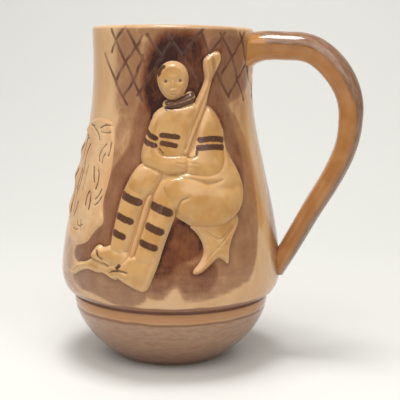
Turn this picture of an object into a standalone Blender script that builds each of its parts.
"""A relief stoneware mug: a turned pear-shaped body on a bowl foot, a strap handle luted to
its side, and sprigs of clay laid on the wall that build up a seated player with a long stick.

The origin is the centre of the foot, +Z is up and the handle points along +X.
The sprigs are drawn on the unrolled wall in millimetres: across from the middle of the front
(-Y) towards the handle, and up from the foot. Each is cut out, given a raised, chamfered top and
then wrapped round the wall."""

import math

import bmesh
import bpy
import numpy as np
from mathutils import Vector

MM = 0.001  # the driving dimensions are in millimetres, and Blender works in metres

HEIGHT = 150.0
FOOT_RADIUS = 23.8
LIP_RADIUS = 44.9  # the top edge of the bowl foot
LIP_HEIGHT = 28.9
CREASE_RADIUS = 44.2  # where the pear-shaped wall sits in the bowl foot
CREASE_HEIGHT = 30.1
BELLY_RADIUS = 50.6
BELLY_HEIGHT = 41.0
WAIST_RADIUS = 42.0
WAIST_HEIGHT = 89.0
NECK_RADIUS = 35.8
NECK_HEIGHT = 132.0
MOUTH_RADIUS = 31.0
FLOOR_HEIGHT = 7.5
LIP_ROUNDING = 2.6

GAP = 0.3  # slip-filled joint between two pieces of clay
TURNED_STEPS = 48
ROWS_PER_CURVE = 6

HANDLE_WIDTH = 16.0
HANDLE_ROOT_WIDTH = 21.0
HANDLE_CROWN = 3.6  # how far the outer face is arched
HANDLE_STATIONS = 11  # for each of its three curves
CROWN_STEPS = 5
EDGE_ROUNDING = 1.6

SPRIG_CHAMFER = 0.9
SHORTEST_SLICE = 4.0  # a sprig is sliced this finely before it is wrapped
HEAD_POINTS = 18

HONEY = (0.58, 0.33, 0.12, 1.0)
BROWN_WASH = (0.16, 0.07, 0.04, 1.0)
TAN = (0.62, 0.38, 0.18, 1.0)


def clear_scene():
    for item in list(bpy.data.objects):
        bpy.data.objects.remove(item)


def bezier(start, start_pull, end_pull, end, steps):
    """Points along one cubic curve, the last one included and the first one left out."""
    points = []
    for step in range(1, steps + 1):
        t = step / steps
        s = 1.0 - t
        weights = (s * s * s, 3 * s * s * t, 3 * s * t * t, t * t * t)
        corners = (start, start_pull, end_pull, end)
        points.append(tuple(sum(w * c[i] for w, c in zip(weights, corners)) for i in (0, 1)))
    return points


def outer_profile():
    """(radius, height) up the outside, from the edge of the foot to the start of the rim."""
    profile = [(FOOT_RADIUS, 0.0)]
    profile += bezier(profile[-1], (33.0, 5.0), (LIP_RADIUS, 17.0), (LIP_RADIUS, LIP_HEIGHT), ROWS_PER_CURVE)
    profile.append((CREASE_RADIUS, CREASE_HEIGHT))
    shoulder_width = BELLY_RADIUS - CREASE_RADIUS
    shoulder_rise = BELLY_HEIGHT - CREASE_HEIGHT
    for step in range(1, ROWS_PER_CURVE + 1):
        turn = math.pi / 2 * step / ROWS_PER_CURVE
        radius = CREASE_RADIUS + shoulder_width * math.sin(turn)
        profile.append((radius, CREASE_HEIGHT + shoulder_rise * (1.0 - math.cos(turn))))
    waist = (WAIST_RADIUS, WAIST_HEIGHT)
    neck = (NECK_RADIUS, NECK_HEIGHT)
    profile += bezier(profile[-1], (50.4, 54.0), (46.4, 70.0), waist, ROWS_PER_CURVE)
    profile += bezier(waist, (38.6, 103.4), (36.0, 113.0), neck, ROWS_PER_CURVE)
    profile.append((NECK_RADIUS, HEIGHT - LIP_ROUNDING))
    return profile


def rim_profile():
    """Over the rim, from outside to inside."""
    middle = (NECK_RADIUS + MOUTH_RADIUS) / 2
    half_wall = (NECK_RADIUS - MOUTH_RADIUS) / 2
    points = []
    for step in range(1, ROWS_PER_CURVE):
        turn = math.pi * step / ROWS_PER_CURVE
        height = HEIGHT - LIP_ROUNDING + LIP_ROUNDING * math.sin(turn)
        points.append((middle + half_wall * math.cos(turn), height))
    return points


def inner_profile():
    """Down the inside, from the rim to the middle of the floor."""
    throat = (MOUTH_RADIUS, NECK_HEIGHT - 2.0)
    waist = (37.2, WAIST_HEIGHT - 1.0)
    belly = (45.4, 50.0)
    profile = [(MOUTH_RADIUS, HEIGHT - LIP_ROUNDING), throat]
    profile += bezier(throat, (31.2, 112.0), (33.8, 102.0), waist, ROWS_PER_CURVE)
    profile += bezier(waist, (41.2, 71.0), (45.0, 60.0), belly, ROWS_PER_CURVE)
    profile += bezier(belly, (43.0, 28.0), (30.0, FLOOR_HEIGHT), (0.0, FLOOR_HEIGHT), ROWS_PER_CURVE + 1)
    return profile


def wall_radius(height):
    radii, heights = zip(*outer_profile())
    return float(np.interp(height, heights, radii))


def material(name, colour, roughness):
    made = bpy.data.materials.new(name)
    made.use_nodes = True
    shader = made.node_tree.nodes["Principled BSDF"]
    shader.inputs["Base Color"].default_value = colour
    shader.inputs["Roughness"].default_value = roughness
    shader.inputs["Metallic"].default_value = 0.0
    return made


def finished(name, bm, colour, roughness=0.25):
    """Makes one named, smooth-shaded object from a closed bmesh in millimetres."""
    bmesh.ops.remove_doubles(bm, verts=bm.verts, dist=0.001)
    bmesh.ops.recalc_face_normals(bm, faces=bm.faces)
    bmesh.ops.scale(bm, vec=(MM, MM, MM), verts=bm.verts)
    mesh = bpy.data.meshes.new(name)
    bm.to_mesh(mesh)
    bm.free()
    mesh.shade_smooth()
    mesh.set_sharp_from_angle(angle=math.radians(35.0))
    mesh.materials.append(material(name, colour, roughness))
    made = bpy.data.objects.new(name, mesh)
    bpy.context.scene.collection.objects.link(made)
    return made


def turned(profile):
    """A closed bmesh spun from a profile that starts and ends on the axis."""
    bm = bmesh.new()
    verts = [bm.verts.new((radius, 0.0, height)) for radius, height in profile]
    edges = [bm.edges.new(pair) for pair in zip(verts, verts[1:])]
    bmesh.ops.spin(
        bm,
        geom=verts + edges,
        cent=(0.0, 0.0, 0.0),
        axis=(0.0, 0.0, 1.0),
        angle=math.tau,
        steps=TURNED_STEPS,
        use_merge=True,
    )
    bmesh.ops.remove_doubles(bm, verts=bm.verts, dist=0.001)
    return bm


def make_body():
    profile = [(0.0, 0.0)] + outer_profile() + rim_profile() + inner_profile()
    return finished("mug_body", turned(profile), HONEY)


def make_body_cutter():
    """The body's outer form, one joint gap larger and without its hollow."""
    profile = [(0.0, -GAP)]
    profile += [(radius + GAP, height) for radius, height in outer_profile()]
    profile += [(NECK_RADIUS + GAP, HEIGHT + GAP), (0.0, HEIGHT + GAP)]
    cutter = finished("body_cutter", turned(profile), HONEY)
    cutter.hide_render = True
    cutter.display_type = "WIRE"
    return cutter


def handle_line():
    """(distance from the axis, height) along the middle of the strap, from its top root down."""
    top_root = (34.0, 142.5)
    crown = (55.2, 142.4)
    bend = (80.3, 113.3)
    tip = (49.5, 40.6)
    line = [top_root]
    line += bezier(top_root, (42.0, 142.7), (50.0, 142.4), crown, HANDLE_STATIONS)
    line += bezier(crown, (69.5, 142.4), (80.3, 125.8), bend, HANDLE_STATIONS)
    line += bezier(bend, (80.3, 87.0), (68.0, 82.0), tip, HANDLE_STATIONS)
    return line


def handle_section(outside, inside, half_width):
    """The strap's section as (sideways, outwards): arched outside, flat sides, rounded inside."""
    ridge = outside - HANDLE_CROWN
    points = []
    for step in range(CROWN_STEPS + 1):
        turn = math.pi * step / CROWN_STEPS
        points.append((half_width * math.cos(turn), ridge + HANDLE_CROWN * math.sin(turn)))
    points.append((-half_width, EDGE_ROUNDING - inside))
    points.append((EDGE_ROUNDING - half_width, -inside))
    points.append((half_width - EDGE_ROUNDING, -inside))
    points.append((half_width, EDGE_ROUNDING - inside))
    return points


def make_handle(cutter):
    line = handle_line()
    steps = np.hypot(*np.diff(np.array(line), axis=0).T)
    travel = np.concatenate([[0.0], np.cumsum(steps)])
    travel /= travel[-1]
    outside = np.interp(travel, [0.0, 0.06, 0.3, 0.55, 0.93, 1.0], [5.6, 6.5, 6.4, 5.1, 4.4, 3.2])
    inside = np.interp(travel, [0.0, 0.02, 0.05, 0.09, 0.3, 0.55, 1.0], [14.0, 9.5, 7.0, 6.2, 6.2, 5.0, 4.3])
    half_width = np.interp(
        travel,
        [0.0, 0.08, 0.5, 0.9, 1.0],
        [HANDLE_ROOT_WIDTH / 2, HANDLE_WIDTH / 2, HANDLE_WIDTH / 2, 7.6, 8.2],
    )
    bm = bmesh.new()
    rings = []
    for index, (reach, height) in enumerate(line):
        before = line[max(index - 1, 0)]
        after = line[min(index + 1, len(line) - 1)]
        ahead = Vector((after[0] - before[0], 0.0, after[1] - before[1])).normalized()
        outward = Vector((-ahead.z, 0.0, ahead.x))
        centre = Vector((reach, 0.0, height))
        ring = []
        for sideways, out in handle_section(outside[index], inside[index], half_width[index]):
            ring.append(bm.verts.new(centre + outward * out + Vector((0.0, sideways, 0.0))))
        rings.append(ring)
    for ring, next_ring in zip(rings, rings[1:]):
        for corner in range(len(ring)):
            other = (corner + 1) % len(ring)
            bm.faces.new((ring[corner], ring[other], next_ring[other], next_ring[corner]))
    bm.faces.new(rings[0])
    bm.faces.new(rings[-1])
    handle = finished("handle", bm, HONEY)
    fitted = handle.modifiers.new("fitted_to_body", "BOOLEAN")
    fitted.object = cutter
    fitted.operation = "DIFFERENCE"
    fitted.solver = "EXACT"
    return handle


def slice_flat_mesh(bm, low, high):
    """Cuts a flat shape into strips, so that it can follow the round wall."""
    for axis in (0, 1):
        normal = Vector((1.0 - axis, float(axis), 0.0))
        count = int((high[axis] - low[axis]) / (SHORTEST_SLICE * (1 + axis)))
        for step in range(1, count + 1):
            place = low[axis] + (high[axis] - low[axis]) * step / (count + 1)
            everything = bm.verts[:] + bm.edges[:] + bm.faces[:]
            bmesh.ops.bisect_plane(bm, geom=everything, dist=0.0001, plane_co=normal * place, plane_no=normal)


def wrap_round_wall(bm):
    """Bends a flat shape, whose Z is its thickness, onto the outside of the body."""
    for vert in bm.verts:
        across, up, out = vert.co
        radius = wall_radius(up)
        angle = across / radius
        reach = radius + GAP + out
        vert.co = (reach * math.sin(angle), -reach * math.cos(angle), up)


def sprig(name, outline, proud, colour=HONEY, chamfer=SPRIG_CHAMFER):
    """A piece of clay cut to an outline on the unrolled wall, standing proud of it."""
    bm = bmesh.new()
    verts = [bm.verts.new((across, up, 0.0)) for across, up in outline]
    base = bm.faces.new(verts)
    raised = bmesh.ops.extrude_face_region(bm, geom=[base], use_keep_orig=True)
    lifted = [item for item in raised["geom"] if isinstance(item, bmesh.types.BMVert)]
    bmesh.ops.translate(bm, vec=(0.0, 0.0, proud - chamfer / 2), verts=lifted)
    top = [item for item in raised["geom"] if isinstance(item, bmesh.types.BMFace)]
    bmesh.ops.recalc_face_normals(bm, faces=bm.faces)
    bmesh.ops.inset_region(bm, faces=top, thickness=chamfer, depth=chamfer / 2, use_even_offset=True)
    low = [min(point[axis] for point in outline) for axis in (0, 1)]
    high = [max(point[axis] for point in outline) for axis in (0, 1)]
    slice_flat_mesh(bm, low, high)
    bmesh.ops.triangulate(bm, faces=bm.faces)
    wrap_round_wall(bm)
    return finished(name, bm, colour)


def make_head():
    """A plain egg of clay under a close-fitting cap; the face is worked in the surface later."""
    centre = (6.2, 128.2)
    outline = []
    for step in range(HEAD_POINTS):
        turn = math.tau * step / HEAD_POINTS
        outline.append((centre[0] + 6.3 * math.cos(turn), centre[1] + 7.9 * math.sin(turn)))
    sprig("figure_head", outline, 3.0, chamfer=1.4)


def make_upper_figure():
    collar = [(3.4, 118.4), (7.0, 118.6), (10.2, 119.6), (13.0, 121.8), (14.8, 119.6), (11.2, 116.4), (7.0, 115.3)]
    collar += [(3.8, 115.7)]
    sprig("figure_collar", collar, 2.6, BROWN_WASH)
    chest = [(-0.6, 113.0), (3.0, 114.9), (7.0, 114.5), (11.2, 115.6), (13.6, 117.2), (12.6, 112.6), (9.0, 98.9)]
    chest += [(1.9, 98.9), (1.6, 109.6)]
    sprig("figure_chest", chest, 2.2)
    left_arm = [(-1.6, 112.0), (0.9, 109.0), (1.1, 98.0), (8.6, 97.9), (12.4, 97.4), (13.2, 93.2), (12.0, 90.2)]
    left_arm += [(4.5, 90.6), (-3.6, 93.4), (-6.0, 96.9), (-5.5, 102.0), (-4.0, 107.0)]
    sprig("figure_left_arm", left_arm, 2.8)
    right_arm = [(18.4, 112.6), (19.9, 116.0), (21.6, 116.6), (24.8, 114.2), (28.2, 109.7), (29.6, 104.0)]
    right_arm += [(29.9, 98.6), (30.4, 93.2), (28.0, 88.8), (22.8, 87.2), (14.6, 89.2), (14.0, 97.6)]
    sprig("figure_right_arm", right_arm, 2.8)


def make_lower_figure():
    left_leg = [(-4.5, 92.4), (3.9, 89.3), (-0.5, 82.0), (-3.5, 79.4), (-10.4, 55.8), (-18.1, 58.2), (-16.7, 69.0)]
    left_leg += [(-14.6, 78.5), (-11.0, 86.0)]
    sprig("figure_left_leg", left_leg, 2.4)
    right_leg = [(4.6, 87.8), (0.3, 80.8), (0.1, 76.6), (-7.2, 54.0), (2.8, 52.8), (5.0, 58.5), (9.7, 73.0)]
    right_leg += [(10.4, 79.0), (10.0, 87.6)]
    sprig("figure_right_leg", right_leg, 2.6)
    seat_and_thigh = [(10.7, 87.5), (14.3, 87.0), (22.6, 85.2), (28.8, 87.1), (31.6, 92.4), (30.9, 99.6)]
    seat_and_thigh += [(34.0, 95.0), (38.0, 89.8), (40.6, 83.0), (40.6, 78.4), (38.4, 73.4), (33.0, 69.2)]
    seat_and_thigh += [(24.6, 66.8), (17.8, 67.4), (12.6, 70.4), (10.6, 73.2), (11.2, 79.0)]
    sprig("figure_thigh_and_back", seat_and_thigh, 3.0)


def make_boots():
    left_boot = [(-10.2, 55.2), (-18.4, 57.6), (-22.4, 57.2), (-24.4, 58.0), (-27.2, 56.2), (-28.6, 53.6)]
    left_boot += [(-27.0, 52.0), (-20.0, 50.8), (-16.4, 49.6), (-12.0, 52.6)]
    sprig("figure_left_boot", left_boot, 2.0)
    right_boot = [(-7.6, 53.4), (2.6, 52.2), (0.8, 47.0), (-0.9, 42.6), (-2.6, 41.4), (-14.4, 46.4), (-15.0, 49.4)]
    right_boot += [(-11.4, 52.0)]
    sprig("figure_right_boot", right_boot, 2.4)
    runner = [(-43.0, 42.8), (-42.6, 45.4), (-40.6, 48.0), (-37.6, 49.2), (-32.4, 49.6), (-28.6, 51.5), (-24.0, 50.2)]
    runner += [(-19.6, 49.6), (-16.0, 48.4), (-15.2, 46.2), (-21.4, 47.2), (-27.4, 46.6), (-31.6, 47.6), (-37.4, 46.4)]
    runner += [(-40.6, 43.0)]
    sprig("skate_runner", runner, 1.4, chamfer=0.6)


def make_stick():
    blade_and_shaft = [(26.6, 139.2), (21.8, 137.8), (19.2, 136.0), (19.6, 131.6), (20.4, 128.4), (18.4, 124.0)]
    blade_and_shaft += [(16.6, 119.6), (13.0, 112.6), (9.6, 99.4), (13.2, 98.6), (17.8, 112.6), (20.4, 117.0)]
    blade_and_shaft += [(21.0, 121.6), (22.6, 126.2), (25.4, 132.0), (27.0, 136.4)]
    sprig("stick_upper", blade_and_shaft, 2.0, TAN, chamfer=0.7)
    shaft = [(-1.8, 80.2), (-0.5, 79.0), (-7.9, 54.4), (-9.7, 55.0)]
    sprig("stick_lower", shaft, 1.6, TAN, chamfer=0.5)


def make_tree_stump_seat():
    stump = [(17.2, 66.2), (24.6, 66.2), (32.8, 68.4), (38.0, 72.2), (38.6, 69.6), (37.6, 66.4), (34.9, 61.4)]
    stump += [(33.6, 57.0), (33.4, 51.6), (31.4, 52.6), (29.2, 53.5), (27.0, 52.6), (21.6, 48.4), (18.2, 48.6)]
    stump += [(22.2, 55.6), (22.5, 59.0), (20.6, 63.0)]
    sprig("stump_seat", stump, 2.0, TAN)


def make_bush():
    """The low shaggy patch of relief on the side away from the handle."""
    bush = [(-20.8, 109.0), (-20.0, 101.0), (-21.6, 92.0), (-23.0, 82.0), (-24.4, 73.0), (-24.0, 66.0)]
    bush += [(-30.0, 62.6), (-38.0, 58.6), (-46.0, 58.6), (-51.6, 65.0), (-53.0, 77.0), (-51.0, 89.0)]
    bush += [(-47.6, 100.0), (-41.0, 108.0), (-34.0, 110.0), (-26.0, 110.4)]
    sprig("side_bush", bush, 0.9, TAN, chamfer=0.6)


def main():
    clear_scene()
    make_body()
    make_handle(make_body_cutter())
    make_head()
    make_upper_figure()
    make_lower_figure()
    make_boots()
    make_stick()
    make_tree_stump_seat()
    make_bush()


main()
